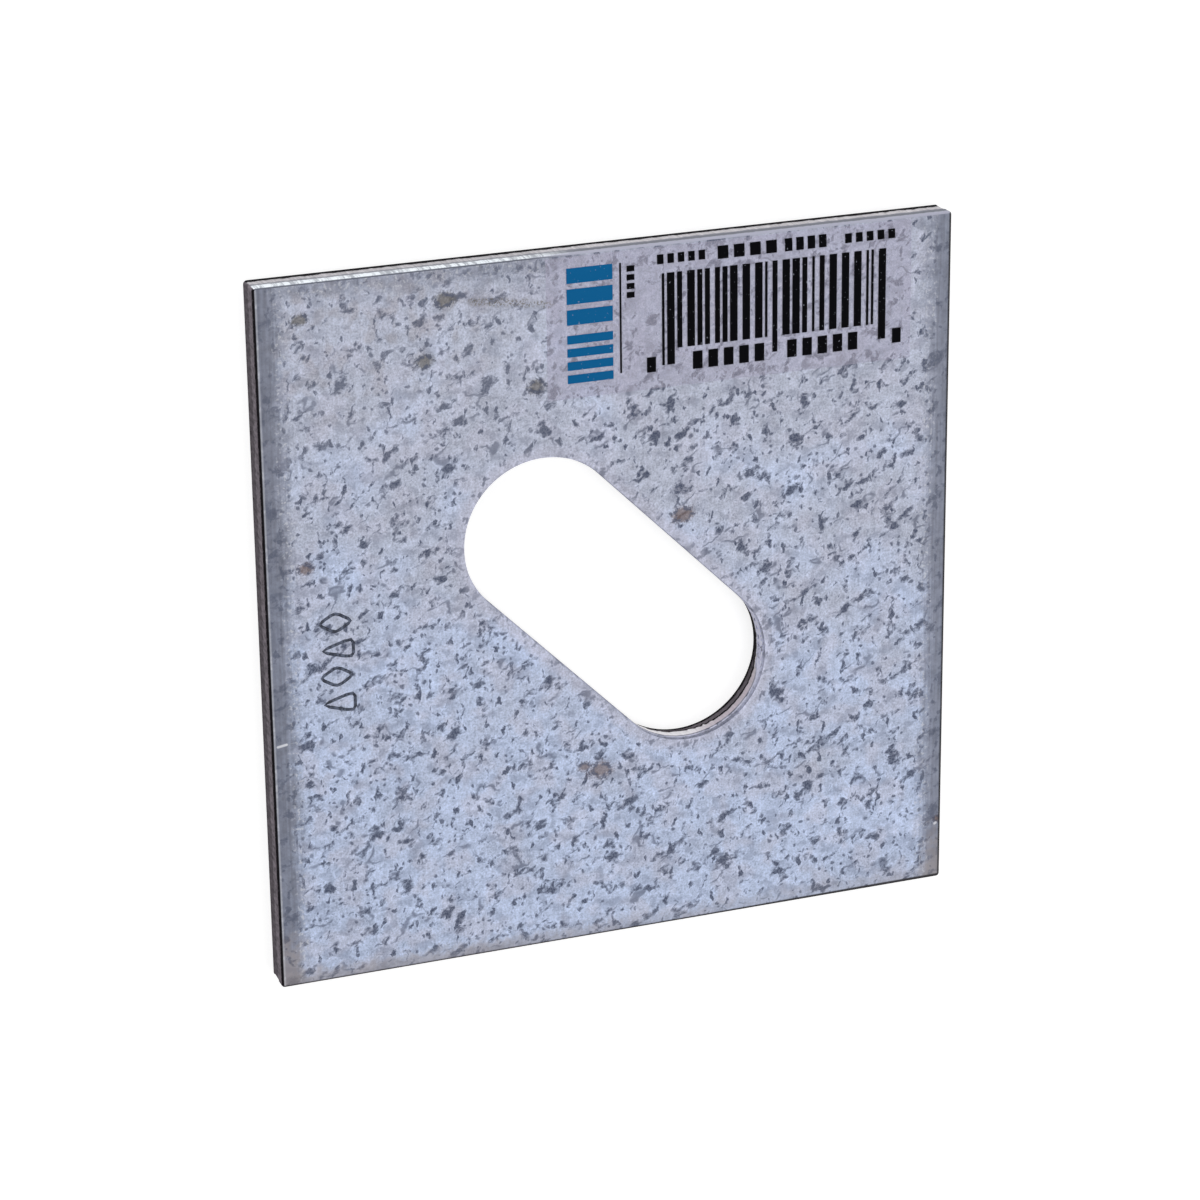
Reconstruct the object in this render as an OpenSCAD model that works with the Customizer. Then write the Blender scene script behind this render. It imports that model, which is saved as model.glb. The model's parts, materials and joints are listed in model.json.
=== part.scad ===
// Square plate washer with a diagonal slot, punched from galvanised steel sheet.
// It lies on its back: +Z points out of the front, the side that the nut bears on.

/* [Plate] */
// Side of the square plate
plate_w = 76.2; // [64:0.1:100]
// Thickness of the galvanised sheet
plate_t = 3.57; // [3:0.01:8]
// Radius of the plate's four upright corners
corner_r = 0.4; // [0.2:0.1:3]

/* [Slot] */
// Width of the slot, which the bolt passes through
slot_w = 17.5; // [11:0.1:22]
// Length of the slot from end to end
slot_len = 40; // [28:0.5:48]
// Turn of the slot from the plate's X axis
slot_angle = -45; // [-90:5:90]

/* [Sheared edge of the plate] */
// Width of the rolled-over border along the left and right sides
side_roll_w = 2.8; // [1:0.1:5]
// Width of the rolled-over border along the top and bottom sides
end_roll_w = 2; // [1:0.1:5]
// Drop of the border from the front face to the rim
roll_h = 0.25; // [0.1:0.05:0.6]
// Radius of the rounded rim, where the border turns down into the wall
rim_r = 0.3; // [0.1:0.05:0.6]
// Height of the smooth sheared band under the rim
shear_h = 0.9; // [0.4:0.1:1.5]
// Inward slope of the rough broken band, from the sheared band to the back
break_w = 0.05; // [0.05:0.05:0.5]

/* [Sheared edge of the slot] */
// Width of the rolled-over lip round the slot
lip_w = 0.8; // [0.4:0.1:2]
// Drop of the lip from the front face to the slot's wall
lip_h = 0.5; // [0.1:0.05:0.7]
// Height of the smooth sheared band under the lip
slot_shear_h = 1.2; // [0.4:0.1:1.5]
// Outward slope of the slot's broken band, from the sheared band to the back
slot_break_w = 0.25; // [0.05:0.05:0.6]

/* [Hidden] */
$fn = 96;
// How far a cut runs past the surface that it opens
overrun = 1;
half_w = plate_w / 2;
// Heights where the broken bands end
break_z = plate_t - roll_h - rim_r - shear_h;
slot_break_z = plate_t - lip_h - slot_shear_h;
slot_r = slot_w / 2;
// Distance of each round end's centre from the plate's centre
slot_end = slot_len / 2 - slot_r;

// Radius of an arc that leaves the front face level and drops by h over the width w
function roll_radius(w, h) = (w * w + h * h) / (2 * h);

// What a roll of width w and drop h takes off an edge whose wall stands at x = 0, with the metal at x < 0
module roll_relief(w, h) {
    r = roll_radius(w, h);
    difference() {
        translate([-w, plate_t - h])
            square([w + overrun, h + overrun]);
        translate([-w, plate_t - r])
            circle(r);
    }
}

// What the rounded rim takes off the same edge
module rim_relief() {
    translate([-rim_r, plate_t - roll_h - rim_r])
        difference() {
            square(rim_r + overrun);
            circle(rim_r);
        }
}

// Section through the plate from one edge to the other, without the slot
module plate_section(roll_w) {
    foot = half_w - break_w;
    difference() {
        polygon([
            [-foot, 0], [foot, 0], [half_w, break_z],
            [half_w, plate_t], [-half_w, plate_t], [-half_w, break_z]
        ]);
        for (side = [0, 1])
            mirror([side, 0])
                translate([half_w, 0]) {
                    translate([-rim_r, 0])
                        roll_relief(roll_w - rim_r, roll_h);
                    rim_relief();
                }
    }
}

// Plan of the plate, with its corners rounded
module plate_plan() {
    inner = plate_w - 2 * corner_r;
    square([plate_w, inner], center = true);
    square([inner, plate_w], center = true);
    for (x = [-1, 1], y = [-1, 1])
        translate([x * inner / 2, y * inner / 2])
            circle(corner_r);
}

// The blank: the plan and both sections, run through each other
module blank() {
    run = plate_w + 2 * overrun;
    intersection() {
        linear_extrude(plate_t + overrun)
            plate_plan();
        rotate([90, 0, 0])
            linear_extrude(run, center = true)
                plate_section(side_roll_w);
        rotate([90, 0, 90])
            linear_extrude(run, center = true)
                plate_section(end_roll_w);
    }
}

// Half section of what the slot takes out, from its middle plane to its wall
module slot_section() {
    foot = slot_r + slot_break_w;
    polygon([
        [0, -overrun], [foot, -overrun], [foot, 0], [slot_r, slot_break_z],
        [slot_r, plate_t + overrun], [0, plate_t + overrun]
    ]);
    translate([slot_r, 0])
        mirror([1, 0])
            roll_relief(lip_w, lip_h);
}

// What the punch takes out: two round ends and the straight run between them
module slot() {
    rotate([0, 0, slot_angle]) {
        for (end = [-1, 1])
            translate([end * slot_end, 0, 0])
                rotate_extrude()
                    slot_section();
        rotate([90, 0, 90])
            linear_extrude(2 * slot_end, center = true)
                for (side = [0, 1])
                    mirror([side, 0])
                        slot_section();
    }
}

module washer_plate() {
    color([0.70, 0.72, 0.78])
        difference() {
            blank();
            slot();
        }
}

washer_plate();
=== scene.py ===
"""Looks of a square plate washer: galvanised sheet steel with punched edges and a clear printed label."""

import json
import math
from functools import reduce
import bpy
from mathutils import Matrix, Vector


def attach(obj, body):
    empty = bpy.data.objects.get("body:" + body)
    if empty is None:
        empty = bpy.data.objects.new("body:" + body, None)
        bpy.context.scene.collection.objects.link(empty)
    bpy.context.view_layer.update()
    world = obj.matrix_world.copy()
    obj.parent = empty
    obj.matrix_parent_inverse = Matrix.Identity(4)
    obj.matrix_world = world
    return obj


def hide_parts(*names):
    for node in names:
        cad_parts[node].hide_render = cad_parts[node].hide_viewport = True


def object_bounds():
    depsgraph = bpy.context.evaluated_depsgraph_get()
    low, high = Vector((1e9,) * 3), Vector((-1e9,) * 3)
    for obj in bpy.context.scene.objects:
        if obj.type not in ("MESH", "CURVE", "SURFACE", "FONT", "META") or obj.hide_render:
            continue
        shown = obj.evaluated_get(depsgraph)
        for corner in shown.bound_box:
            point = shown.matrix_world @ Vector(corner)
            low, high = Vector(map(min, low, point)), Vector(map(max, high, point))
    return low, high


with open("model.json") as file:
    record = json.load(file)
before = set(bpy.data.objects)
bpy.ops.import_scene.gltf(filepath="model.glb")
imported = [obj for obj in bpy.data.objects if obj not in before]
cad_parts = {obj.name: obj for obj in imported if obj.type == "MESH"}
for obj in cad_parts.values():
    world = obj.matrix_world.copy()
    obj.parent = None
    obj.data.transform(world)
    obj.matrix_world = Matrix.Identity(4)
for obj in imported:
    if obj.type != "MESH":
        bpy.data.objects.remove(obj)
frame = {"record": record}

from types import SimpleNamespace

import bpy
import numpy as np
from mathutils import Matrix, Vector, noise

bl_info = {
    "name": "Square plate washer",
    "version": (1, 0, 0),
    "blender": (4, 5, 0),
    "location": "View3D > Sidebar > Washer",
    "description": "Builds a galvanised plate washer with a slot, its film label and a pale studio",
    "category": "Add Mesh",
}

MM = 0.001
NODE = "washer_plate"
BODY = "root"
CAD_LOW, CAD_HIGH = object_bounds()
THICKNESS = CAD_HIGH.z - CAD_LOW.z
HALF = (CAD_HIGH.x - CAD_LOW.x) / 2
SLOT_DIMS = next(m for m in frame["record"]["mounts"] if m["name"] == "bolt_slot")["dims"]
SLOT_RADIUS = SLOT_DIMS["hole_r_mm"] * MM
# Distance of each round end's centre from the middle of the slot
SLOT_END = (SLOT_DIMS["slot_length_mm"] / 2 - SLOT_DIMS["hole_r_mm"]) * MM
# The materials count in millimetres
THICKNESS_MM = THICKNESS / MM
HALF_MM = HALF / MM
SLOT_RADIUS_MM = SLOT_RADIUS / MM
SLOT_END_MM = SLOT_END / MM


def size(name, description, default_mm):
    """A length setting, given in millimetres."""
    return bpy.props.FloatProperty(
        name=name, description=description, default=default_mm * MM, precision=5, unit="LENGTH"
    )


def angle(name, description, degrees):
    """An angle setting, given in degrees."""
    return bpy.props.FloatProperty(
        name=name, description=description, default=math.radians(degrees), subtype="ANGLE"
    )


def position(name, description, default):
    """A place setting, given in metres."""
    return bpy.props.FloatVectorProperty(
        name=name, description=description, default=default, size=3, precision=5, unit="LENGTH"
    )


def colour(name, description, default):
    """A colour setting, given as linear red, green and blue."""
    return bpy.props.FloatVectorProperty(
        name=name, description=description, default=default, size=3, subtype="COLOR", min=0, max=1
    )


class WasherPlateSettings(bpy.types.PropertyGroup):
    """Sizes of the punched edges, as the part's source has them, and of the tears and pressed marks."""

    side_roll: size("Side roll", "Width of the rolled-over border at the left and right", 2.8)
    end_roll: size("End roll", "Width of the rolled-over border at the top and bottom", 2.0)
    roll_drop: size("Roll drop", "Drop of the border from the front to the rim", 0.25)
    rim: size("Rim", "Radius of the rounded rim", 0.3)
    shear: size("Sheared band", "Height of the smooth band under the rim", 0.9)
    taper: size("Break slope", "Inward slope of the broken band", 0.05)
    corner: size("Corner", "Radius of the upright corners", 0.4)
    lip: size("Lip", "Width of the rolled-over lip of the slot", 0.8)
    lip_drop: size("Lip drop", "Drop of the slot's lip", 0.5)
    slot_shear: size("Slot sheared band", "Height of the smooth band in the slot", 1.2)
    slot_taper: size("Slot break slope", "Outward slope of the slot's broken band", 0.25)
    slot_turn: angle("Slot turn", "Turn of the slot from X", -45)
    torn: size("Torn depth", "How deep the broken band is torn", 0.09)
    groove: size("Groove", "Radius of the tool that pressed the setting marks", 0.19)
    groove_lift: size("Groove lift", "Height of that tool's centre over the front", 0.05)


class WasherFinishSettings(bpy.types.PropertyGroup):
    """Colours of the zinc and of the uncoated steel; some of them stand for painted light and shade."""

    zinc_pale: colour("Pale zinc", "Bluish zinc of the lower front", (0.396, 0.458, 0.615))
    zinc_grey: colour("Grey zinc", "Duller zinc at the upper left", (0.398, 0.424, 0.52))
    zinc_warm: colour("Warm zinc", "Faintly pink patches of the coat", (0.41, 0.416, 0.51))
    fleck: colour("Fleck", "Dark crystals of the coat", (0.046, 0.058, 0.104))
    stain: colour("Stain", "Olive spots high on the coat", (0.125, 0.113, 0.094))
    rust: colour("Rust", "Red-brown spots lower down", (0.165, 0.112, 0.098))
    dulled: colour("Dulled zinc", "Lower corners, bottom border, upper left patches", (0.265, 0.243, 0.256))
    # Partly painted shade: the rolls are darkened where they tilt away from the light; the rest is zinc drawn
    # thin.
    thin_zinc_and_shade: colour("Rubbed border", "Zinc drawn thin over the rolled borders", (0.163, 0.176, 0.226))
    # Also the colour of painted glints: the specks along the rolls' inner edges and the highlight line beside
    # the left rim.
    scratch_and_glint: colour("Scraped zinc", "Bright metal of the rim and of scratches", (0.57, 0.58, 0.63))
    pressed: colour("Pressed zinc", "Handling dirt in the setting marks", (0.036, 0.042, 0.062))
    wiped: colour("Wiped zinc", "Setting marks where the dirt has come off", (0.12, 0.14, 0.20))
    broken: colour("Broken steel", "Rough broken band of the cut walls", (0.33, 0.29, 0.33))
    # Painted light: the top wall's broken band is painted pale, as lit from above.
    lit_broken_steel: colour("Pale broken steel", "Broken band of the top wall", (0.62, 0.60, 0.63))
    # Crust and painted shade: besides the dark foot of the broken band, this black paints shade and dark
    # reflection at the rims and in the slot.
    crust_and_shade: colour("Crusted steel", "Dark foot of the broken band and scorched steel", (0.007, 0.006, 0.008))
    sheared: colour("Sheared steel", "Smooth sheared band in the slot's round end", (0.50, 0.43, 0.49))
    # Partly painted highlight: the smooth band is real, its near-white brightness is painted.
    polished_and_highlight: colour("Polished steel", "Brightest part of the slot's sheared band", (0.90, 0.88, 0.92))
    # Painted highlight along the left part of the top rim.
    glint: colour("Glint", "Zinc burnished along the top rim", (0.90, 0.95, 1.0))


class WasherLabelSettings(bpy.types.PropertyGroup):
    """Place, sizes and colours of the label."""

    left: size("Left", "Left edge of the film", -7.4)
    right: size("Right", "Right edge of the film", 33.3)
    bottom: size("Bottom", "Lower edge of the film", 22.8)
    top_gap: size("Top gap", "How far the film stops short of the wall", 0.35)
    film_thickness: size("Film thickness", "Thickness of the film", 0.05)
    ink_thickness: size("Ink thickness", "Thickness of the print", 0.008)
    film: colour("Film", "Milky tint of the clear film", (0.72, 0.69, 0.85))
    black: colour("Black ink", "Ink of the bars and rules", (0.002, 0.002, 0.003))
    blue: colour("Blue ink", "Ink of the stripes", (0.006, 0.13, 0.33))
    worn: colour("Worn ink", "Specks where the print has come off", (0.4, 0.42, 0.5))


class WasherStageSettings(bpy.types.PropertyGroup):
    """Camera, floor and surroundings."""

    camera: position("Camera", "Where the camera stands", (-0.137944, 0.142936, 0.367652))
    aim: position("Aim", "What the camera looks at", (-0.001977, 0.000401, 0.00357))
    roll: angle("Roll", "Turn of the camera about its view", 0.7305)
    lens: bpy.props.FloatProperty(name="Lens", description="Focal length", default=118.574, unit="CAMERA")
    floor: colour("Floor", "Colour of the floor", (0.45, 0.45, 0.45))
    world: bpy.props.FloatProperty(name="World", description="Brightness of the surroundings", default=0.385)


class Wire:
    """An output socket of a node tree. Arithmetic on wires adds Math nodes."""

    def __init__(self, tree, socket=None):
        self.tree = tree
        self.socket = socket

    def node(self, kind, settings=None, inputs=None, output=0):
        """Adds a node of that kind, makes its settings, then sets or links its sockets."""
        made = self.tree.nodes.new(kind)
        for name, value in (settings or {}).items():
            setattr(made, name, value)
        for name, value in (inputs or {}).items():
            if isinstance(value, Wire):
                self.tree.links.new(value.socket, made.inputs[name])
            else:
                made.inputs[name].default_value = value
        return Wire(self.tree, made.outputs[output])

    def output(self, name):
        """Another output of the node that this one comes from."""
        return Wire(self.tree, self.socket.node.outputs[name])

    def math(self, operation, first, second=0.0):
        """A Math node on two values."""
        return self.node("ShaderNodeMath", {"operation": operation}, {0: first, 1: second})

    def __add__(self, other):
        return self.math("ADD", self, other)

    def __sub__(self, other):
        return self.math("SUBTRACT", self, other)

    def __rsub__(self, other):
        return self.math("SUBTRACT", other, self)

    def __mul__(self, other):
        return self.math("MULTIPLY", self, other)

    def __truediv__(self, other):
        return self.math("DIVIDE", self, other)

    def __pow__(self, other):
        return self.math("POWER", self, other)

    __radd__ = __add__
    __rmul__ = __mul__

    def larger(self, other):
        """The larger of this value and another."""
        return self.math("MAXIMUM", self, other)

    def smaller(self, other):
        """The smaller of this value and another."""
        return self.math("MINIMUM", self, other)

    def absolute(self):
        """This value without its sign."""
        return self.math("ABSOLUTE", self)

    def step(self, low, high):
        """0 below low, 1 above high and smooth between; low above high turns it round."""
        if low > high:
            return 1 - self.step(high, low)
        return self.node(
            "ShaderNodeMapRange", {"interpolation_type": "SMOOTHSTEP"},
            {"Value": self, "From Min": low, "From Max": high},
        )

    def vector(self, operation, other):
        """Vector Math of this vector and another, or a scale by a number."""
        second = "Scale" if operation == "SCALE" else 1
        return self.node("ShaderNodeVectorMath", {"operation": operation}, {0: self, second: other})

    def tint(self, tone):
        """A plain colour, scaled by this value."""
        return self.node("ShaderNodeVectorMath", {"operation": "SCALE"}, {0: tuple(tone), "Scale": self})

    def parts(self):
        """x, y and z of a vector, or red, green and blue of a colour."""
        split = self.node("ShaderNodeSeparateXYZ", None, {0: self})
        return [split.output(axis) for axis in "XYZ"]

    def blend(self, first, second):
        """The first colour where this is 0, the second where it is 1."""
        first, second = [tone if isinstance(tone, Wire) else rgba(tone) for tone in (first, second)]
        return self.node("ShaderNodeMix", {"data_type": "RGBA"}, {0: self, 6: first, 7: second}, 2)

    def clouds(self, scale, detail=2.0, rough=0.5, output="Fac", flat=True):
        """Noise at this place, with features about 1 / scale across; flat leaves the height out."""
        return self.node(
            "ShaderNodeTexNoise", {"noise_dimensions": "2D" if flat else "3D"},
            {"Vector": self, "Scale": scale, "Detail": detail, "Roughness": rough}, output,
        )

    def laid(self, turn, length, width, offset):
        """This place as seen in a frame turned about Z, with units of that length and width."""
        return self.node(
            "ShaderNodeMapping", {"vector_type": "TEXTURE"},
            {"Vector": self, "Location": (offset, -offset, 0.0), "Rotation": (0.0, 0.0, turn),
             "Scale": (length, width, 1.0)},
        )


def rgba(tone):
    """A colour with full opacity."""
    return (*tone, 1.0)


def new_material(name):
    """A material, its shader node and a wire to start its finish from."""
    material = bpy.data.materials.new(name)
    material.use_nodes = True
    tree = material.node_tree
    return material, tree.nodes["Principled BSDF"], Wire(tree)


def connect(shader, **values):
    """Sets or links sockets of the shader. Underscores in the names stand for spaces."""
    for name, value in values.items():
        socket = shader.inputs[name.replace("_", " ")]
        if isinstance(value, Wire):
            value.tree.links.new(value.socket, socket)
        else:
            socket.default_value = value


def place_mm(start):
    """The place on the object, in millimetres."""
    here = start.node("ShaderNodeTexCoord", None, None, "Object")
    return here.vector("SCALE", 1 / MM)


def bump(start, height, strength, depth):
    """A normal that makes the surface uneven by that height, up to the depth."""
    return start.node(
        "ShaderNodeBump", None, {"Strength": strength, "Distance": depth, "Height": height}, "Normal"
    )


def round_specks(place, spacing, share):
    """Round specks, one in that share of the cells of a loose grid. 1 inside a speck, 0 outside."""
    away = place.node(
        "ShaderNodeTexVoronoi", {"voronoi_dimensions": "2D"},
        {"Vector": place, "Scale": 1 / spacing}, "Distance",
    )
    pick, grow, _ = away.output("Color").parts()
    return (away / (0.17 + grow * 0.17)).step(1.3, 0.5) * (share - pick).step(-0.04, 0.04)


# Lean of the coat's flecks from the plate's X axis
FLECK_LEAN = math.radians(29)


def coat_flecks(place):
    """Dark crystals of the coat, the paler zinc round them and the coat's fine grain, all 0 to 1.

    The crystals are soft blots, crowds of round specks and short bent veins."""
    grain = place.clouds(4.5, 3.0, 0.65)
    wander = place.clouds(0.8, 3.0, 0.6, "Color").vector("SUBTRACT", (0.5, 0.5, 0.5))
    bent = place.vector("ADD", wander.vector("SCALE", 0.8))
    specky = place.clouds(0.11, 2.0).step(0.42, 0.6)
    blot_rise = bent.laid(FLECK_LEAN, 2.5, 1.7, 3.0).clouds(1.0, 4.0, 0.62) - specky * 0.025
    dab_rise = bent.laid(FLECK_LEAN + 0.9, 1.5, 1.0, 31.0).clouds(1.0, 3.0, 0.55)
    blots = blot_rise.step(0.535, 0.69)
    dabs = dab_rise.step(0.575, 0.72)
    smudges = bent.laid(FLECK_LEAN - 0.6, 2.4, 1.7, 11.0).clouds(1.0, 3.0, 0.6).step(0.50, 0.68)
    specks = round_specks(bent, 0.75, specky * 0.18 + 0.04)
    course = bent.laid(FLECK_LEAN, 4.0, 2.2, 83.0).clouds(1.0, 1.5)
    veins = (course - 0.5).absolute().step(0.05, 0.006) * place.clouds(0.3, 2.0).step(0.57, 0.66)
    flecks = blots.larger(dabs).larger(specks * 0.85).larger(veins * 0.7).larger(smudges * 0.3)
    halo = blot_rise.larger(dab_rise - 0.04).step(0.46, 0.57) * (1 - flecks)
    return flecks * (0.75 + grain.step(0.35, 0.6) * 0.3), halo, grain


def near_line(x, y, line):
    """Distance from this place to a short line, less its half width."""
    x0, y0, x1, y1, half = line
    length = math.hypot(x1 - x0, y1 - y0)
    ux, uy = (x1 - x0) / length, (y1 - y0) / length
    along = ((x - x0) * ux + (y - y0) * uy).larger(0.0).smaller(length)
    return ((x - x0 - along * ux) ** 2 + (y - y0 - along * uy) ** 2) ** 0.5 - half


def along_slot(x, y, turn):
    """Part of a level vector that runs along the slot."""
    return x * math.cos(turn) + y * math.sin(turn)


def across_slot(x, y, turn):
    """Part of a level vector that runs across the slot."""
    return y * math.cos(turn) - x * math.sin(turn)


def from_slot(along, across):
    """Distance from the slot's wall of a place on the front, in millimetres."""
    past_end = (along.absolute() - SLOT_END_MM).larger(0.0)
    return (past_end ** 2 + across ** 2) ** 0.5 - SLOT_RADIUS_MM


# Shift of the back's flecks from those of the front, in millimetres
BACK_SHIFT = (140.0, 90.0, 0.0)


def front_wires(start, plate):
    """Where a place lies on the zinc, its borders there, and the flecks and unevenness of the coat.

    The back has flecks of its own, and counts as far from every border, lip and spot."""
    here = place_mm(start)
    x, y, z = here.parts()
    back = z.step(2.0, 1.0)
    place = here.vector("ADD", back.tint(BACK_SHIFT))
    spot_x, spot_y, _ = place.parts()
    flecks, halo, grain = coat_flecks(place)
    ragged = (place.clouds(0.9, 3.0, 0.6) - 0.5) * 2.4
    streaks = place.laid(0.0, 0.3, 9.0, 5.0).clouds(1.0, 2.0) - 0.5
    mottle = place.clouds(1.0, 3.0, 0.6) - 0.5
    patches = place.clouds(0.12, 2.0) - 0.5

    right, upper = x.step(-1.0, 1.0), y.step(-1.0, 1.0)
    side_roll, end_roll = plate.side_roll / MM, plate.end_roll / MM
    to_side = HALF_MM - x.absolute() + back * HALF_MM
    to_end = HALF_MM - y.absolute() + back * HALF_MM
    side_band = (to_side + ragged * 0.6 + streaks * 0.8).step(side_roll + 0.95, side_roll - 1.5)
    end_band = (to_end + ragged).step(end_roll + 0.4, end_roll - 1.4)
    # The rolls are darkened as painted shade: both sides, and the top roll mostly at the upper left.
    border = side_band.larger(end_band * (0.08 + upper * x.step(2.0, -12.0) * 0.42))

    along = along_slot(x, y, plate.slot_turn)
    across = across_slot(x, y, plate.slot_turn)
    to_slot = from_slot(along, across) + back * HALF_MM
    lip_zone = (to_slot + ragged * 0.5).step(2.0, 0.5)
    # Painted light: the slot's lip at its lower right end, brightened where it slopes away from the light.
    lip = to_slot.step(0.5, 0.1) * along.step(10.0, 14.0) * across.step(-2.0, 4.0)
    return SimpleNamespace(
        place=place, x=x, y=y, spot_x=spot_x, spot_y=spot_y,
        right=right, left=1 - right, lower=1 - upper, to_side=to_side, to_end=to_end,
        end_band=end_band, border=border, lip_zone=lip_zone, lip=lip,
        flecks=flecks, halo=halo, grain=grain,
        ragged=ragged, streaks=streaks, mottle=mottle, patches=patches,
    )


def zinc_ground(front, finish):
    """The coat's colour: bluer low down, greyer at the upper left, with warm and tan patches, and painted
    light on the slot's lip and along the bottom rim.
    """
    x, y = front.x, front.y
    bluer = (0.5 - x * 0.004 - y * 0.02 + front.patches * 1.6).step(0.0, 1.0)
    ground = bluer.blend(finish.zinc_grey, finish.zinc_pale)
    warm = front.place.clouds(0.28, 2.0).step(0.45, 0.65) * 0.5
    ground = warm.larger(front.lip_zone * 0.8).blend(ground, finish.zinc_warm)
    tan = front.place.clouds(0.45, 3.0).step(0.46, 0.66) * x.step(-6.0, -20.0) * y.step(18.0, 32.0)
    ground = (tan * 0.4).blend(ground, finish.dulled)
    shade = 0.935 + front.halo * 0.2 + (front.grain - 0.5) + front.streaks * 0.2
    # The lip term brightens the slot's lip as painted light.
    shade = shade + front.mottle * 0.5 + front.patches * 0.3 + front.lip * 0.7
    # Painted light: the bottom roll and rim are lightened, most towards the right.
    bottom_light = front.end_band * 0.1 + front.to_end.step(1.3, 0.6) * x.step(-8.0, 20.0) * 0.2
    return ground.vector("SCALE", shade + front.lower * bottom_light)


def border_zinc_and_shade(front, finish):
    """Zinc drawn thin over the rolls, darkened as painted shade of the tilted rolls, a little paler at the
    right and warmer in the lower corners.
    """
    thin_zinc_and_shade = (1.02 + front.right * 0.2 + front.streaks * 0.7 + front.mottle * 0.7).tint(finish.thin_zinc_and_shade)
    low_corner = (front.x.absolute() - front.y * 1.1 - front.mottle * 9.0).step(70.0, 77.0)
    return low_corner.blend(thin_zinc_and_shade, finish.dulled)


# Olive and rusty spots of the front: x and y from the middle and radius, in millimetres
STAINS = (
    (-18.2, 34.8, 0.9), (-33.5, 34.4, 0.7), (-20.5, 28.6, 0.8), (-8.6, 24.6, 0.8),
    (-33.8, 8.2, 0.65), (-2.2, -18.8, 1.1), (7.4, 8.6, 1.0), (-4.0, -18.2, 0.6), (37.5, -31.0, 0.4),
)
# Share of the distance sideways that counts, so that the spots are wider than high
STAIN_SQUEEZE = 0.75
# Faint brown streak of the front: both ends and half width, in millimetres
STREAK = (-15.3, 34.3, -7.1, 33.1, 0.2)
# Bright scratches and nicks of the front: both ends and half width, in millimetres
SCRATCHES = ((-37.45, -10.8, -36.55, -10.6, 0.1), (37.3, -31.55, 37.45, -31.5, 0.12))


def stained(coat, front, finish):
    """The coat with its spots, dark rings round them and the streak."""
    reaches = []
    for x, y, radius in STAINS:
        beside = (front.spot_x - x) * STAIN_SQUEEZE
        reaches.append((beside ** 2 + (front.spot_y - y) ** 2) ** 0.5 / radius)
    reach = reduce(Wire.smaller, reaches) + front.ragged * 0.35 + (front.grain - 0.5) * 0.8
    stain = front.y.step(12.0, 22.0).blend(finish.rust, finish.stain)
    coat = (reach.step(1.3, 0.5) * 0.75).blend(coat, stain.vector("SCALE", 0.1 + front.grain * 1.5))
    to_streak = near_line(front.spot_x, front.spot_y, STREAK)
    streak = (to_streak + front.ragged * 0.25).step(0.45, 0.0) * front.grain.step(0.45, 0.6)
    coat = (streak * 0.8).blend(coat, finish.stain)
    ring = (reach - 0.75).absolute().step(0.35, 0.1) * front.place.clouds(1.6, 2.0).step(0.4, 0.55)
    return (ring * 0.75).blend(coat, finish.fleck)


def edge_shades(front, rim):
    """Painted shade: the dark line along the right, lower and left rims, and the part of it along the left
    one.
    """
    far = front.right * front.to_side.step(rim + 0.12, rim - 0.05) * 0.88
    low = (front.to_end - front.x.step(5.0, 35.0) * 0.15).step(rim + 0.05, rim - 0.1)
    low = low * front.lower * (0.6 + front.x.step(-20.0, 20.0) * 0.4)
    near = front.left * front.to_side.step(rim, rim - 0.08)
    return far.larger(low).larger(near).smaller(0.97), near


def scratches_and_rim_highlight(front, rim, left_edge_shade):
    """Scratches and nicks, and the painted highlight line beside the left rim."""
    to_scratch = reduce(Wire.smaller, [near_line(front.spot_x, front.spot_y, line) for line in SCRATCHES])
    rim_glint_line = front.left * front.to_side.step(rim + 0.2, rim + 0.05) * (1 - left_edge_shade)
    scratch_and_glint = rim_glint_line * (0.4 + front.mottle.step(0.0, 0.2) * 0.4)
    return to_scratch.step(0.08, -0.02).larger(scratch_and_glint)


# Depth of the coat's grain
GRAIN_DEPTH = 0.02 * MM


def zinc_material(finish, plate):
    """Hot-dip zinc: pale blue-grey with leaning dark flecks, duller over the rolled borders, partly as
    painted shade, with painted light and shade along the rims and the slot's lip.
    """
    material, shader, start = new_material("galvanised_zinc")
    front = front_wires(start, plate)
    border = front.border
    low_band = front.end_band * front.lower * (0.3 + front.x.step(4.0, -20.0) * 0.35)
    coat = low_band.blend(zinc_ground(front, finish), (1.35 + front.mottle * 0.8).tint(finish.dulled))
    coat = (border * 0.9).blend(coat, border_zinc_and_shade(front, finish))
    # Painted sparkles: bright specks along the inner edges of the rolled borders.
    painted_sparkles = border * (1 - border) * 4 * front.place.clouds(2.6, 2.0).step(0.58, 0.68)
    coat = (painted_sparkles * 0.5).blend(coat, finish.scratch_and_glint)
    quiet = front.x.step(2.0, -12.0) * front.y.step(12.0, 26.0)
    fleck_share = 0.93 - border * 0.35 - front.lip_zone * 0.4 - quiet * 0.14 - low_band * 0.4
    coat = (front.flecks * fleck_share).blend(coat, finish.fleck)
    coat = stained(coat, front, finish)

    rim = plate.rim / MM
    edge_shade, left_edge_shade = edge_shades(front, rim)
    # Painted shade along the rims, in the black of the crust colour.
    coat = edge_shade.blend(coat, finish.crust_and_shade)
    # Real scratches and nicks, and a painted highlight line beside the left rim.
    scratch_and_highlight = scratches_and_rim_highlight(front, rim, left_edge_shade)
    coat = scratch_and_highlight.blend(coat, finish.scratch_and_glint)
    connect(
        shader, Base_Color=coat, Normal=bump(start, front.grain, 0.25, GRAIN_DEPTH),
        Metallic=0.3 * (1 - edge_shade.larger(front.lip)),
        Roughness=0.44 + front.flecks * 0.1 + border * 0.04 - scratch_and_highlight * 0.12, Specular_IOR_Level=0.3,
    )
    return material


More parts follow.
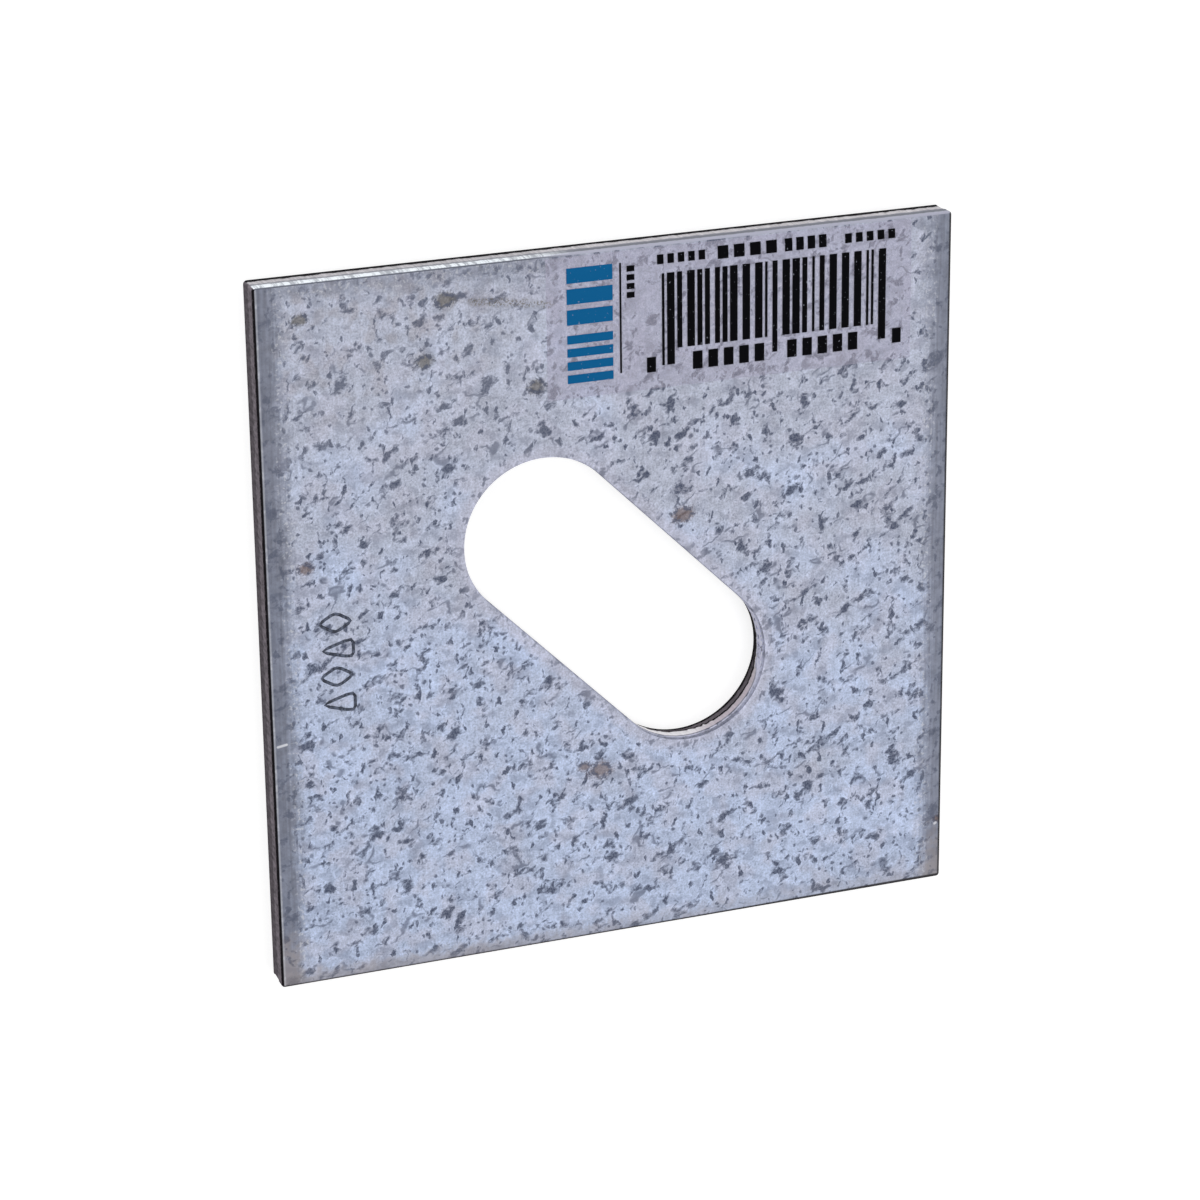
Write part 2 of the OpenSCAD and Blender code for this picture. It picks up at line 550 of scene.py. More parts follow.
# Bands of the outer walls, in millimetres above the back: dark foot and painted dark reflection under the rim
# of the sides, then the painted lit band, the rim with its painted highlight and the painted shade line of
# the top wall
FOOT_TOP = 1.6
SHADED_FROM = 3.1
PALE_FROM, PALE_TOP = 0.7, 1.7
RIM_FROM, RIM_TOP = 2.35, 3.22
RIM_SHADE_TOP = 2.9
# Bands of the slot's wall: top of the torn foot, and where the zinc that was drawn down ends
SLOT_TORN, SLOT_TORN_AT_END = 1.15, 1.65
DRAWN_FROM, DRAWN_AT_SIDE = 2.6, 1.25
# Within this distance of the middle, to the sides and up and down, a wall is the slot's
SLOT_WITHIN = 30.0
# Share of the height that counts in the tears and in the drawn lines, which run down the wall
TEAR_STRETCH = (1.0, 1.0, 0.4)
LINE_STRETCH = (1.0, 1.0, 0.06)
# Depth of the tears in the bump
TEAR_DEPTH = 0.05 * MM


def wall_wires(start, plate):
    """Where a place lies on the cut walls, which way it faces, and the steel's tears and drawn lines."""
    place = place_mm(start)
    x, y, z = place.parts()
    facing = start.node("ShaderNodeTexCoord", None, None, "Normal")
    facing_x, facing_y, _ = facing.parts()
    tears = place.vector("MULTIPLY", TEAR_STRETCH).clouds(2.0, 4.0, 0.65, flat=False)
    drawn = place.vector("MULTIPLY", LINE_STRETCH)
    return SimpleNamespace(
        place=place, x=x, y=y, z=z, facing=facing, facing_x=facing_x, facing_y=facing_y,
        slot_end=along_slot(facing_x, facing_y, plate.slot_turn).step(-0.74, -0.97),
        tears=tears, height=z + (tears - 0.5) * 0.5, lines=drawn.clouds(5.0, 2.0, flat=False),
        glints=drawn.clouds(2.0, 3.0, 0.7, flat=False).step(0.36, 0.56),
    )


def side_wall(wall, finish):
    """The left, right and lower walls: broken steel with a dark foot and a black line at the rim, which is
    painted dark reflection.
    """
    tone = (wall.tears * 1.9 - 0.25).larger(0.05).tint(finish.broken)
    tone = (wall.height.step(FOOT_TOP + 0.2, FOOT_TOP - 0.2) * 0.45).blend(tone, finish.crust_and_shade)
    # Painted dark reflection: the band under the rim is blackened, a little less on walls turned to the right
    # or down.
    shaded = wall.height.step(SHADED_FROM - 0.1, SHADED_FROM + 0.1)
    turned_away = wall.facing_x.larger(0 - wall.facing_y).step(0.1, 0.25)
    return (shaded * (1 - turned_away * 0.15)).blend(tone, finish.crust_and_shade)


def top_wall(wall, finish):
    """The top wall, broken steel painted pale as if lit from above, under a rim with a painted highlight at
    the left and a painted shade line, and where that rim is.
    """
    to_left = wall.x.step(-3.0, -10.0)
    # Painted light: the top wall's band is pale, a little less at the left.
    pale = (0.55 + wall.lines * 0.9 - to_left * 0.12).tint(finish.lit_broken_steel)
    pale = wall.height.step(PALE_FROM + 0.15, PALE_FROM - 0.15).blend(pale, finish.crust_and_shade)
    # Painted shade: a darker dip between the pale band and the rim.
    dip = wall.height.step(PALE_TOP - 0.1, PALE_TOP + 0.1)
    pale = (dip * 0.65).blend(pale, finish.thin_zinc_and_shade)
    # Painted shade lines along the top rim, beside the highlight at the left and under the warm zinc at the
    # right.
    rim_shade_line = [channel * 0.7 for channel in finish.thin_zinc_and_shade]
    # Painted highlight along the rim's left part, broken up by noise.
    top_rim_glint = (0.35 + wall.glints * 0.65).blend(finish.thin_zinc_and_shade, finish.glint)
    top_rim_glint = wall.z.step(RIM_TOP - 0.05, RIM_TOP + 0.05).blend(top_rim_glint, rim_shade_line)
    right_rim = wall.height.step(RIM_SHADE_TOP - 0.1, RIM_SHADE_TOP + 0.1).blend(rim_shade_line, finish.zinc_warm)
    on_rim = (wall.height + 0.25 - to_left * 0.25).step(RIM_FROM - 0.15, RIM_FROM + 0.15)
    return on_rim.blend(pale, to_left.blend(right_rim, top_rim_glint)), on_rim


def slot_wall(wall, finish):
    """The slot's wall, torn at its foot, bright above it and under drawn-down zinc at its lip, with painted
    light and shade on all three.

    The second result is 1 where the wall is smooth uncoated steel."""
    at_side = wall.facing_x.step(-0.45, -0.8) * (1 - wall.slot_end)
    over_foot = wall.height - (SLOT_TORN + wall.slot_end * (SLOT_TORN_AT_END - SLOT_TORN))
    torn = (0.15 + wall.tears * 0.7).tint(finish.broken)
    # Painted shade: the torn foot is black at the slot's sides.
    torn = at_side.blend(torn, finish.crust_and_shade)
    lined = over_foot.absolute().step(0.5, 0.3).larger(wall.height.step(0.6, 0.3))
    torn = lined.blend(torn, finish.crust_and_shade)
    # Partly painted highlight: the smooth band is painted near-white, less at the round ends.
    bright = (wall.slot_end * 0.85).blend(finish.polished_and_highlight, finish.sheared)
    bright = bright.vector("SCALE", 0.75 + wall.lines * 0.4)

    drawn_from = DRAWN_FROM - at_side * (DRAWN_FROM - DRAWN_AT_SIDE)
    drawn = (wall.z + (wall.tears - 0.5) * 0.3 - drawn_from).step(-0.08, 0.08)
    sheet = wall.place.vector("ADD", wall.facing.vector("SCALE", THICKNESS_MM - wall.z))
    flecks, halo, grain = coat_flecks(sheet)
    # Painted light: the drawn-down zinc is brightened, twice as much at the sides.
    coat = (1.0 + at_side + grain * 0.9 + halo * 0.3).tint(finish.zinc_warm)
    coat = (flecks * 0.85).blend(coat, finish.fleck)
    # Painted shade: a dark line under the drawn-down zinc, away from the sides.
    edge = (wall.z - drawn_from - 0.1).absolute().step(0.18, 0.06) * (1 - at_side) * 0.6
    bright = drawn.blend(bright, edge.blend(coat, finish.crust_and_shade))
    sheared = over_foot.step(-0.1, 0.1)
    return sheared.blend(torn, bright), sheared * (1 - drawn)


def steel_material(finish, plate):
    """Uncoated steel of the cut walls, in bands from the torn foot up to the rim, with painted light and
    shade on them.
    """
    material, shader, start = new_material("cut_steel")
    wall = wall_wires(start, plate)
    in_slot = wall.x.absolute().larger(wall.y.absolute()).step(SLOT_WITHIN + 1.0, SLOT_WITHIN)
    faces_up = (wall.facing_y - wall.facing_x.absolute() * 1.2).step(0.05, 0.25)
    on_top = (wall.y - HALF_MM).step(-0.5, -0.35) * faces_up
    top, on_rim = top_wall(wall, finish)
    outer = on_top.blend(side_wall(wall, finish), top)
    slot, slot_smooth = slot_wall(wall, finish)
    smooth = in_slot * slot_smooth + (1 - in_slot) * on_top * on_rim
    connect(
        shader, Base_Color=in_slot.blend(outer, slot),
        Normal=bump(start, wall.tears * (1 - smooth), 0.5, TEAR_DEPTH),
        Metallic=smooth * 0.3, Roughness=0.8 - smooth * 0.45, Specular_IOR_Level=0.05,
    )
    return material


def groove_material(finish):
    """Zinc pressed down in the setting marks, dark with handling dirt."""
    material, shader, start = new_material("pressed_zinc")
    worn = place_mm(start).clouds(2.5, 3.0).step(0.35, 0.7)
    connect(shader, Base_Color=worn.blend(finish.pressed, finish.wiped), Metallic=0.4, Roughness=0.6)
    return material


# Steps of the plate's mesh
SIDE_STEPS = 260
CORNER_STEPS = 8
ROLL_STEPS = 9
RIM_STEPS = 5
SHEAR_STEPS = 3
BREAK_STEPS = 9
LIP_STEPS = 8
FACE_STEPS = 8
GROOVE_SIDES = 10
# Least radius of a ring's corners, so that all rings have as many points
TIGHT = 0.05 * MM
# How far round the rim the zinc still covers the steel
RIM_COATED = math.radians(10)
# Faces that turn by more than this meet in a sharp edge
CREASE = math.radians(28)
# The plate's material slots
ZINC, STEEL = 0, 1
# Where in the noise the tears of the outer wall and of the slot's wall start
OUTER_TEARS, SLOT_TEARS = 0.0, 5.0


def square_ring(half_x, half_y, corner, z):
    """Points round the plate, anticlockwise from the lower right corner, with rounded corners."""
    along = np.arange(SIDE_STEPS) / SIDE_STEPS
    swing = np.arange(CORNER_STEPS) / CORNER_STEPS * math.pi / 2
    points = []
    for quarter in range(4):
        reach, side = (half_x, half_y) if quarter % 2 == 0 else (half_y, half_x)
        straight = side - corner
        line = np.stack([np.full(SIDE_STEPS, reach), straight * (2 * along - 1)], 1)
        arc = np.stack([reach - corner + corner * np.cos(swing), straight + corner * np.sin(swing)], 1)
        turn = quarter * math.pi / 2
        spin = np.array([[math.cos(turn), math.sin(turn)], [-math.sin(turn), math.cos(turn)]])
        points.append(np.concatenate([line, arc]) @ spin)
    flat = np.concatenate(points)
    return np.column_stack([flat, np.full(len(flat), z)])


def slot_ring(bearings, radius, z, turn):
    """Points on the slot's outline, one for each bearing from the plate's middle."""
    along = np.cos(bearings - turn)
    across = np.sin(bearings - turn)
    to_side = radius / np.maximum(np.abs(across), 1e-9)
    to_end = SLOT_END * np.abs(along) + np.sqrt(np.maximum(radius ** 2 - (SLOT_END * across) ** 2, 0))
    reach = np.where(np.abs(to_side * along) <= SLOT_END, to_side, to_end)
    return np.column_stack([reach * np.cos(bearings), reach * np.sin(bearings), np.full(len(bearings), z)])


def arc_drop(into, span, drop):
    """How far a roll lies below the front at that distance into it. Over its span it drops by drop."""
    radius = (span ** 2 + drop ** 2) / (2 * drop)
    return radius - np.sqrt(radius ** 2 - into ** 2)


def roll_curve(span, drop, steps):
    """Points down a roll to its rim: the share of its width that is left, and the drop below the front."""
    run = np.arange(1, steps + 1) / steps
    return list(zip(1 - run, arc_drop(span * run, span, drop)))


def wall_heights(top, middle):
    """Heights of a wall's rings below its rim, each with its share of the way down the broken band."""
    smooth = top + (middle - top) * np.arange(1, SHEAR_STEPS + 1) / SHEAR_STEPS
    torn = middle * (1 - np.arange(1, BREAK_STEPS + 1) / BREAK_STEPS)
    return [(z, 0.0) for z in smooth] + [(z, 1 - z / middle) for z in torn]


def tear(ring, outward, depth, seed):
    """Presses a broken wall's points back by a rough amount, up to that depth."""
    for point, direction in zip(ring, outward):
        spot = Vector((point[0], point[1], point[2] * 0.5)) / MM
        rough = noise.noise(spot * 1.7 + Vector((seed, 0, 0))) + 0.5 * noise.noise(spot * 4.1)
        point[:2] -= direction * depth * min(max(0.5 + 0.6 * rough, 0.0), 1.0)


def ring_normals(ring):
    """Level directions square to a ring, pointing to its outside."""
    ahead = np.roll(ring, -1, 0)[:, :2] - np.roll(ring, 1, 0)[:, :2]
    normal = np.column_stack([ahead[:, 1], -ahead[:, 0]])
    return normal / np.linalg.norm(normal, axis=1)[:, None]


def plate_rings(plate):
    """All rings of the plate's skin, from the slot's back edge over the front and round to the back again.

    Each ring has the kind of surface that follows it."""
    inner = square_ring(HALF - plate.side_roll, HALF - plate.end_roll, TIGHT, THICKNESS)
    bearings = np.arctan2(inner[:, 1], inner[:, 0])
    lip_rim = THICKNESS - plate.lip_drop
    rings = []

    wall = wall_heights(lip_rim, lip_rim - plate.slot_shear)
    for z, torn in reversed([(lip_rim, 0.0), *wall]):
        ring = slot_ring(bearings, SLOT_RADIUS + plate.slot_taper * torn, z, plate.slot_turn)
        if 0 < torn < 1:
            tear(ring, -ring_normals(ring), plate.torn, SLOT_TEARS)
        rings.append((ring, STEEL))
    rings[-1] = (rings[-1][0], ZINC)

    for share, drop in roll_curve(plate.lip, plate.lip_drop, LIP_STEPS)[-2::-1]:
        radius = SLOT_RADIUS + plate.lip - plate.lip * share
        rings.append((slot_ring(bearings, radius, THICKNESS - drop, plate.slot_turn), ZINC))
    lip_edge = slot_ring(bearings, SLOT_RADIUS + plate.lip, THICKNESS, plate.slot_turn)
    for share in np.arange(FACE_STEPS + 1) / FACE_STEPS:
        rings.append((lip_edge * (1 - share) + inner * share, ZINC))

    for share, drop in roll_curve(plate.side_roll - plate.rim, plate.roll_drop, ROLL_STEPS):
        inset_x = plate.rim + (plate.side_roll - plate.rim) * share
        inset_y = plate.rim + (plate.end_roll - plate.rim) * share
        corner = max(plate.corner - min(inset_x, inset_y), TIGHT)
        rings.append((square_ring(HALF - inset_x, HALF - inset_y, corner, THICKNESS - drop), ZINC))
    top = THICKNESS - plate.roll_drop
    for swing in np.arange(1, RIM_STEPS + 1) / RIM_STEPS * math.pi / 2:
        inset = plate.rim * (1 - math.sin(swing))
        z = top - plate.rim * (1 - math.cos(swing))
        ring = square_ring(HALF - inset, HALF - inset, max(plate.corner - inset, TIGHT), z)
        rings.append((ring, ZINC if swing < RIM_COATED else STEEL))

    foot_of_rim = top - plate.rim
    for z, torn in wall_heights(foot_of_rim, foot_of_rim - plate.shear):
        half = HALF - plate.taper * torn
        ring = square_ring(half, half, plate.corner, z)
        if 0 < torn < 1:
            tear(ring, ring_normals(ring), plate.torn, OUTER_TEARS)
        rings.append((ring, STEEL))
    outer, _ = rings[-1]
    rings[-1] = (outer, ZINC)
    foot, _ = rings[0]
    for share in np.arange(1, FACE_STEPS) / FACE_STEPS:
        rings.append((outer * (1 - share) + foot * share, ZINC))
    return rings


def ring_mesh(name, rings):
    """A closed skin over rings of equal count, the last one joined to the first."""
    count = len(rings[0][0])
    points = np.concatenate([ring for ring, _ in rings])
    here = np.arange(count)
    ahead = (here + 1) % count
    quads, kinds = [], []
    for index, (_, kind) in enumerate(rings):
        low = index * count
        high = (index + 1) % len(rings) * count
        quads.append(np.stack([low + here, high + here, high + ahead, low + ahead], 1))
        kinds.append(np.full(count, kind))
    mesh = bpy.data.meshes.new(name)
    mesh.from_pydata(points.tolist(), [], np.concatenate(quads).tolist())
    mesh.polygons.foreach_set("material_index", np.concatenate(kinds).astype(np.int32))
    return mesh


def tube_mesh(name, paths, radius):
    """Round tubes along closed level paths."""
    points, faces = [], []
    swing = np.arange(GROOVE_SIDES) / GROOVE_SIDES * 2 * math.pi
    for path in paths:
        ahead = np.roll(path, -1, 0) - np.roll(path, 1, 0)
        ahead /= np.linalg.norm(ahead, axis=1)[:, None]
        beside = np.column_stack([-ahead[:, 1], ahead[:, 0], np.zeros(len(path))])
        base = len(points)
        for centre, side in zip(path, beside):
            for turn in swing:
                offset = side * math.cos(turn) + np.array([0, 0, 1]) * math.sin(turn)
                points.append(centre + radius * offset)
        for run in range(len(path)):
            low = base + run * GROOVE_SIDES
            high = base + (run + 1) % len(path) * GROOVE_SIDES
            for k in range(GROOVE_SIDES):
                after = (k + 1) % GROOVE_SIDES
                faces.append((low + k, low + after, high + after, high + k))
    mesh = bpy.data.meshes.new(name)
    mesh.from_pydata([tuple(p) for p in points], [], faces)
    return mesh


# Setting marks pressed into the front near its left side: diamonds and triangles in a column, in millimetres
MARK_X = -30.9
MARK_TOP = 2.0
MARK_PITCH = 2.95
MARK_HALF = (1.85, 1.1)
MARK_SHAPES = {
    "diamond": ((1, 0), (0, 1), (-1, 0), (0, -1)),
    "triangle": ((1, -1), (1, 1), (-1, 0)),
}
MARK_ORDER = ("diamond", "triangle", "diamond", "triangle")
# Share of a mark's sides that its eased corners take
MARK_ROUND = 0.25


def mark_paths(lift):
    """Closed paths of the tool that pressed the marks, with eased corners."""
    paths = []
    for index, kind in enumerate(MARK_ORDER):
        corners = np.array(MARK_SHAPES[kind]) * MARK_HALF + (MARK_X, MARK_TOP - index * MARK_PITCH)
        before, after = np.roll(corners, 1, 0), np.roll(corners, -1, 0)
        points = []
        for back, corner, ahead in zip(before, corners, after):
            points.append(corner + (back - corner) * MARK_ROUND)
            points.append(corner + (back + ahead - 2 * corner) * MARK_ROUND / 4)
            points.append(corner + (ahead - corner) * MARK_ROUND)
        flat = np.array(points) * MM
        paths.append(np.column_stack([flat, np.full(len(flat), THICKNESS + lift)]))
    return paths


def add_object(name, mesh, *materials):
    """Puts a mesh in the scene as a piece, with its materials."""
    for material in materials:
        mesh.materials.append(material)
    piece = bpy.data.objects.new(name, mesh)
    bpy.context.scene.collection.objects.link(piece)
    return piece


def carve(piece, cutter):
    """Cuts the cutter out of the piece for good and removes the cutter."""
    cut = piece.modifiers.new("carve", "BOOLEAN")
    cut.operation = "DIFFERENCE"
    cut.object = cutter
    cut.solver = "EXACT"
    cut.material_mode = "TRANSFER"
    bpy.context.view_layer.update()
    carved = bpy.data.meshes.new_from_object(piece.evaluated_get(bpy.context.evaluated_depsgraph_get()))
    piece.modifiers.clear()
    piece.data = carved
    bpy.data.objects.remove(cutter)


class WASHER_OT_plate(bpy.types.Operator):
    """Build the punched plate, with torn edges and pressed setting marks"""

    bl_idname = "washer.plate"
    bl_label = "Plate"

    def execute(self, context):
        plate = context.scene.washer_plate
        finish = context.scene.washer_finish
        zinc = zinc_material(finish, plate)
        steel = steel_material(finish, plate)
        piece = add_object("plate", ring_mesh("plate", plate_rings(plate)), zinc, steel)
        paths = mark_paths(plate.groove_lift)
        marks = add_object("marks", tube_mesh("marks", paths, plate.groove), groove_material(finish))
        carve(piece, marks)
        piece.data.shade_smooth()
        piece.data.set_sharp_from_angle(angle=CREASE)
        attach(piece, BODY)
        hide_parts(NODE)
        return {"FINISHED"}


# Gap between the zinc and the film, and length of the label's steps up the front
FILM_GAP = 0.004 * MM
LABEL_STEP = 0.4 * MM
# The print's material slots
BLACK, BLUE = 0, 1


def front_height(y, plate):
    """Height of the plate's front at this distance up it, over the roll at its top too."""
    span = plate.end_roll - plate.rim
    into = np.clip(np.abs(y) - (HALF - plate.end_roll), 0, span)
    return THICKNESS - arc_drop(into, span, plate.roll_drop)


def sheet_patch(box, low, high, plate):
    """Points and faces of a thin closed slab over the front, from low to high above it.

    It follows the roll at the plate's top."""
    left, bottom, right, top = box
    rows = max(2, int(math.ceil((top - bottom) / LABEL_STEP)) + 1)
    points, faces = [], []
    for y in np.linspace(bottom, top, rows):
        z = float(front_height(y, plate))
        points += [(x, y, z + lift) for x, lift in ((left, low), (right, low), (right, high), (left, high))]
    for row in range(rows - 1):
        here, after = 4 * row, 4 * row + 4
        faces += [(here + k, after + k, after + (k + 1) % 4, here + (k + 1) % 4) for k in range(4)]
    last = 4 * (rows - 1)
    faces += [(0, 1, 2, 3), (last + 3, last + 2, last + 1, last)]
    return points, faces


def slab_mesh(name, slabs):
    """A mesh of slabs, each with its points, its faces and its material slot."""
    points, faces, kinds = [], [], []
    for slab_points, slab_faces, kind in slabs:
        base = len(points)
        points += slab_points
        faces += [[base + corner for corner in face] for face in slab_faces]
        kinds += [kind] * len(slab_faces)
    mesh = bpy.data.meshes.new(name)
    mesh.from_pydata(points, [], faces)
    mesh.polygons.foreach_set("material_index", kinds)
    return mesh


def film_material(label):
    """Clear film, a little milky and glossier than the zinc."""
    material, shader, start = new_material("clear_film")
    haze = place_mm(start).clouds(1.4, 3.0)
    connect(
        shader, Base_Color=rgba(label.film), Roughness=0.35 + haze * 0.15, Alpha=0.13 + haze * 0.1,
        Specular_IOR_Level=0.25,
    )
    return material


def ink_material(name, tone, worn):
    """Printed ink with a few worn specks."""
    material, shader, start = new_material(name)
    specks = place_mm(start).clouds(3.2, 2.0).step(0.735, 0.79)
    connect(shader, Base_Color=(specks * 0.6).blend(tone, worn), Roughness=0.55, Specular_IOR_Level=0.02)
    return material


# Print of the label, in millimetres from the plate's middle; boxes are left, bottom, right, top
BAR_LEFT, BAR_RIGHT = 5.2, 30.6
BAR_TOP, BAR_FOOT, BAR_SHORT = 35.0, 25.2, 26.9
BAR_WIDTHS = (0.28, 0.56, 0.84)
BAR_SEED = 11
# Bars this near to the left end, the right end and the middle run down to the foot
LONG_AT_LEFT, LONG_AT_RIGHT, LONG_AT_MIDDLE = 1.0, 1.5, 0.7
RULE = (0.55, 24.9, 0.75, 36.6)
# Rows of plain blocks: left, bottom, right, top, how many and how much of the row they fill
BLOCK_ROWS = (
    (4.7, 36.0, 10.0, 37.0, 5, 0.62), (11.4, 35.85, 18.0, 37.2, 4, 0.66), (18.9, 35.85, 23.6, 37.2, 4, 0.66),
    (25.7, 36.0, 31.4, 37.0, 5, 0.62), (3.5, 24.6, 4.5, 26.2, 1, 0.7), (8.6, 24.4, 16.6, 26.3, 5, 0.62),
    (19.2, 24.4, 27.2, 26.3, 5, 0.62), (31.2, 24.6, 32.2, 26.2, 1, 0.7),
)
# Column of plain blocks beside the rule: left, bottom, right, top, how many and how much of it they fill
SIDE_BLOCKS = (1.35, 32.8, 2.2, 36.2, 4, 0.66)
# Blue stripes: left and right of all, then bottom and top of each
STRIPE_LEFT, STRIPE_RIGHT = -5.2, -0.2
STRIPES = (
    (24.4, 25.3), (25.8, 26.7), (27.2, 28.1), (28.6, 29.5), (30.6, 32.2), (32.8, 34.4), (35.0, 36.6),
)


def shares(low, high, count, fill):
    """Starts and ends of that many equal blocks between low and high."""
    pitch = (high - low) / (count - 1 + fill)
    return [(low + index * pitch, low + (index + fill) * pitch) for index in range(count)]


def print_boxes():
    """Boxes of the print, each with its ink. The bars are drawn at random."""
    boxes = [(RULE, BLACK)]
    for left, bottom, right, top, count, fill in BLOCK_ROWS:
        boxes += [((low, bottom, high, top), BLACK) for low, high in shares(left, right, count, fill)]
    left, bottom, right, top, count, fill = SIDE_BLOCKS
    boxes += [((left, low, right, high), BLACK) for low, high in shares(bottom, top, count, fill)]
    draw = np.random.default_rng(BAR_SEED)
    middle = (BAR_LEFT + BAR_RIGHT) / 2
    x = BAR_LEFT
    while x < BAR_RIGHT:
        width = BAR_WIDTHS[draw.integers(len(BAR_WIDTHS))]
        at_end = x < BAR_LEFT + LONG_AT_LEFT or x > BAR_RIGHT - LONG_AT_RIGHT
        foot = BAR_FOOT if at_end or abs(x - middle) < LONG_AT_MIDDLE else BAR_SHORT
        boxes.append(((x, foot, x + width, BAR_TOP), BLACK))
        x += width + BAR_WIDTHS[draw.integers(len(BAR_WIDTHS) - 1)]
    boxes += [((STRIPE_LEFT, low, STRIPE_RIGHT, high), BLUE) for low, high in STRIPES]
    return boxes


class WASHER_OT_film(bpy.types.Operator):
    """Build the clear film of the label"""

    bl_idname = "washer.film"
    bl_label = "Film"

    def execute(self, context):
        label = context.scene.washer_label
        box = (label.left, label.bottom, label.right, HALF - label.top_gap)
        patch = sheet_patch(box, FILM_GAP, FILM_GAP + label.film_thickness, context.scene.washer_plate)
        piece = add_object("label_film", slab_mesh("label_film", [(*patch, 0)]), film_material(label))
        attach(piece, BODY)
        return {"FINISHED"}


class WASHER_OT_print(bpy.types.Operator):
    """Build the plain print on the film"""

    bl_idname = "washer.print"
    bl_label = "Print"

    def execute(self, context):
        label = context.scene.washer_label
        low = FILM_GAP + label.film_thickness
        high = low + label.ink_thickness
        slabs = []
        for box, ink in print_boxes():
            metres = [side * MM for side in box]
            slabs.append((*sheet_patch(metres, low, high, context.scene.washer_plate), ink))
        black = ink_material("black_ink", label.black, label.worn)
        blue = ink_material("blue_ink", label.blue, label.worn)
        piece = add_object("label_print", slab_mesh("label_print", slabs), black, blue)
        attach(piece, BODY)
        return {"FINISHED"}


FLOOR_HALF = 3.0
# Lamps, all aimed at the plate: name, place, size and power
LAMPS = (
    ("front_softbox", (0.24, -0.25, 0.62), 0.42, 1.12),
    ("top_softbox", (-0.10, 0.60, 0.45), 0.40, 1.12),
    ("left_fill", (-0.60, -0.05, 0.40), 0.40, 0.56),
    ("rear_strip", (-0.12, 0.60, 0.10), 0.16, 1.3),
)
# How bright the floor is of itself to the rays that take it for white
FLOOR_GLOW = 0.75
# Width of the camera's sensor, in millimetres
SENSOR_WIDTH = 36.0


def seen_ray(start):
    """1 for rays of the camera, of reflections and of see-through surfaces, 0 for the rest."""
    path = start.node("ShaderNodeLightPath")
    kinds = ("Camera", "Glossy", "Transmission")
    return reduce(Wire.larger, [path.output(f"Is {kind} Ray") for kind in kinds])


def floor_material(tone):
    """Pale floor that the camera, reflections and see-through rays take for white; it keeps the shadow."""
    material, shader, start = new_material("pale_floor")
    glow = seen_ray(start).blend((0, 0, 0), (FLOOR_GLOW, FLOOR_GLOW, FLOOR_GLOW))
    connect(shader, Base_Color=rgba(tone), Roughness=0.9, Emission_Color=glow, Emission_Strength=1.0)
    return material


def add_floor(tone):
    """A wide level floor under the plate."""
    mesh = bpy.data.meshes.new("floor")
    corners = [(x * FLOOR_HALF, y * FLOOR_HALF, 0.0) for x, y in ((-1, -1), (1, -1), (1, 1), (-1, 1))]
    mesh.from_pydata(corners, [], [(0, 1, 2, 3)])
    return add_object("floor", mesh, floor_material(tone))


def world_light(strength):
    """Even surroundings that the camera, reflections and see-through rays take for white."""
    world = bpy.data.worlds.new("studio")
    bpy.context.scene.world = world
    world.use_nodes = True
    tree = world.node_tree
    light = seen_ray(Wire(tree)).blend((strength, strength, strength), (1, 1, 1))
    tree.links.new(light.socket, tree.nodes["Background"].inputs["Color"])


def add_lamp(name, place, side, power):
    """A square lamp aimed at the plate."""
    lamp = bpy.data.lights.new(name, "AREA")
    lamp.shape = "SQUARE"
    lamp.size = side
    lamp.energy = power
    holder = bpy.data.objects.new(name, lamp)
    holder.location = place
    holder.rotation_euler = (-Vector(place)).to_track_quat("-Z", "Y").to_euler()
    bpy.context.scene.collection.objects.link(holder)


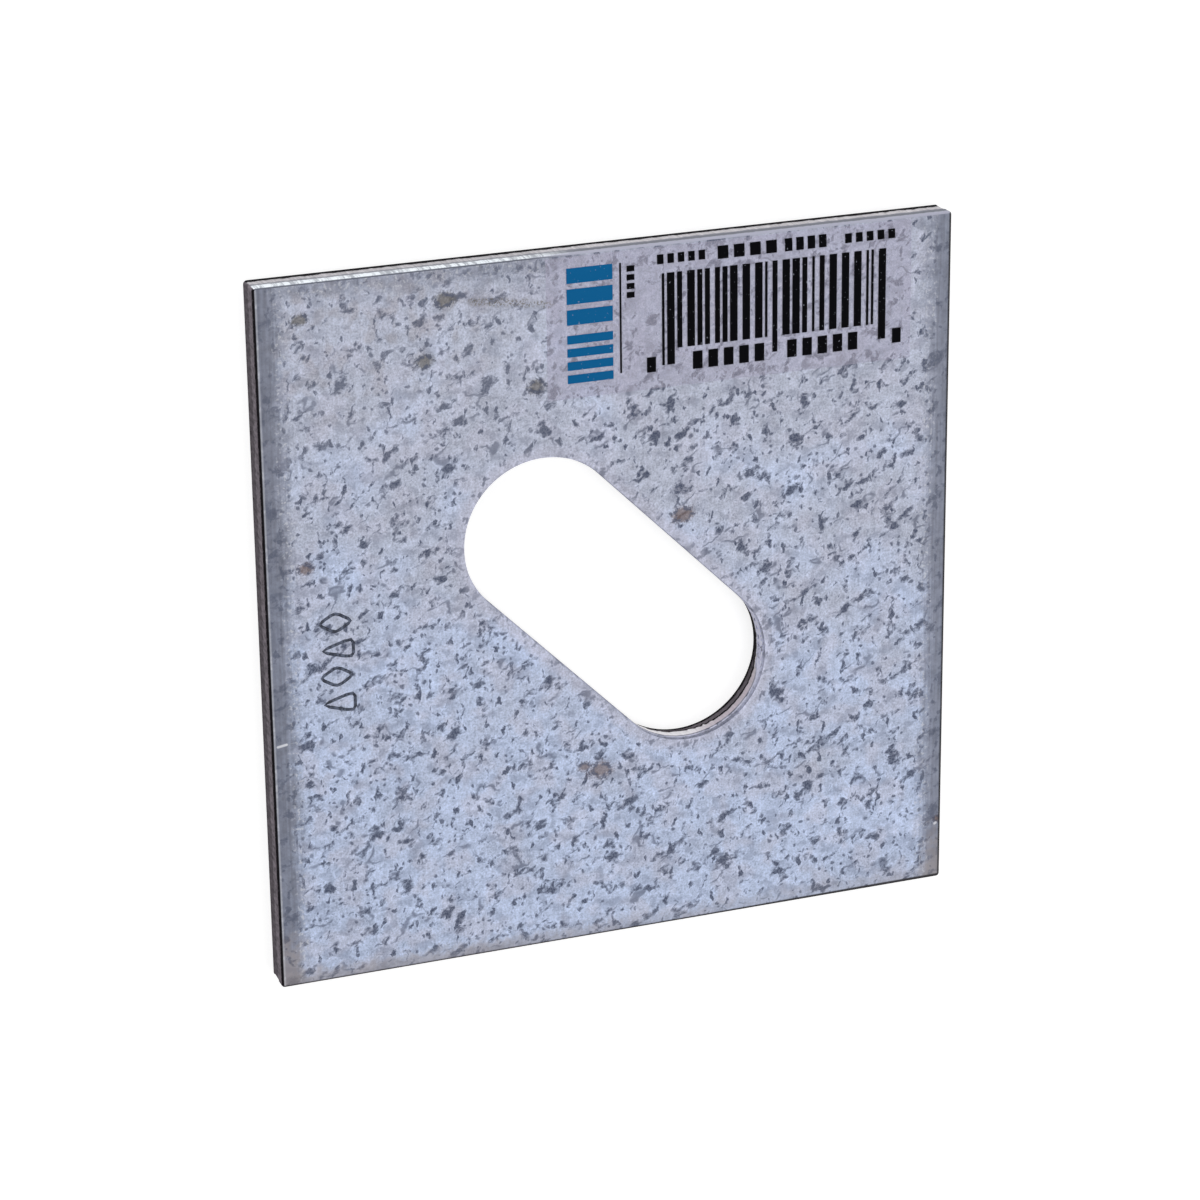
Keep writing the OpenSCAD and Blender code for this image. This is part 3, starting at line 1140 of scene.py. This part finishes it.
def add_camera(stage):
    """The camera, with the plate's top towards the top of the picture."""
    camera = bpy.data.cameras.new("camera")
    camera.lens = stage.lens
    camera.sensor_width = SENSOR_WIDTH
    holder = bpy.data.objects.new("camera", camera)
    view = (Vector(stage.aim) - Vector(stage.camera)).normalized()
    up = Vector((0, 1, 0)) - view * view.y
    up = Matrix.Rotation(stage.roll, 3, view) @ up.normalized()
    right = view.cross(up)
    turn = Matrix((right, up, -view)).transposed().to_4x4()
    holder.matrix_world = Matrix.Translation(stage.camera) @ turn
    bpy.context.scene.collection.objects.link(holder)
    bpy.context.scene.camera = holder


class WASHER_OT_stage(bpy.types.Operator):
    """Set up the floor, the lamps and the camera"""

    bl_idname = "washer.stage"
    bl_label = "Stage"

    def execute(self, context):
        stage = context.scene.washer_stage
        context.scene.view_settings.view_transform = "Standard"
        add_floor(stage.floor)
        world_light(stage.world)
        for lamp in LAMPS:
            add_lamp(*lamp)
        add_camera(stage)
        return {"FINISHED"}


OPERATORS = (WASHER_OT_stage, WASHER_OT_plate, WASHER_OT_film, WASHER_OT_print)
SETTINGS = {
    "washer_plate": WasherPlateSettings,
    "washer_finish": WasherFinishSettings,
    "washer_label": WasherLabelSettings,
    "washer_stage": WasherStageSettings,
}


class WASHER_PT_panel(bpy.types.Panel):
    """Sidebar list of the washer's pieces"""

    bl_label = "Plate washer"
    bl_idname = "WASHER_PT_panel"
    bl_space_type = "VIEW_3D"
    bl_region_type = "UI"
    bl_category = "Washer"

    def draw(self, context):
        for operator in OPERATORS:
            self.layout.operator(operator.bl_idname)
        for name, group in SETTINGS.items():
            box = self.layout.box()
            for setting in group.__annotations__:
                box.prop(getattr(context.scene, name), setting)


def register():
    """Adds the settings, the operators and the panel to Blender."""
    for name, group in SETTINGS.items():
        bpy.utils.register_class(group)
        setattr(bpy.types.Scene, name, bpy.props.PointerProperty(type=group))
    for cls in (*OPERATORS, WASHER_PT_panel):
        bpy.utils.register_class(cls)


def unregister():
    """Takes them out again."""
    for cls in (WASHER_PT_panel, *reversed(OPERATORS)):
        bpy.utils.unregister_class(cls)
    for name, group in SETTINGS.items():
        delattr(bpy.types.Scene, name)
        bpy.utils.unregister_class(group)


def main():
    """Builds the stage and the pieces."""
    register()
    bpy.ops.washer.stage()
    bpy.ops.washer.plate()
    bpy.ops.washer.film()
    bpy.ops.washer.print()


if __name__ == "__main__":
    main()
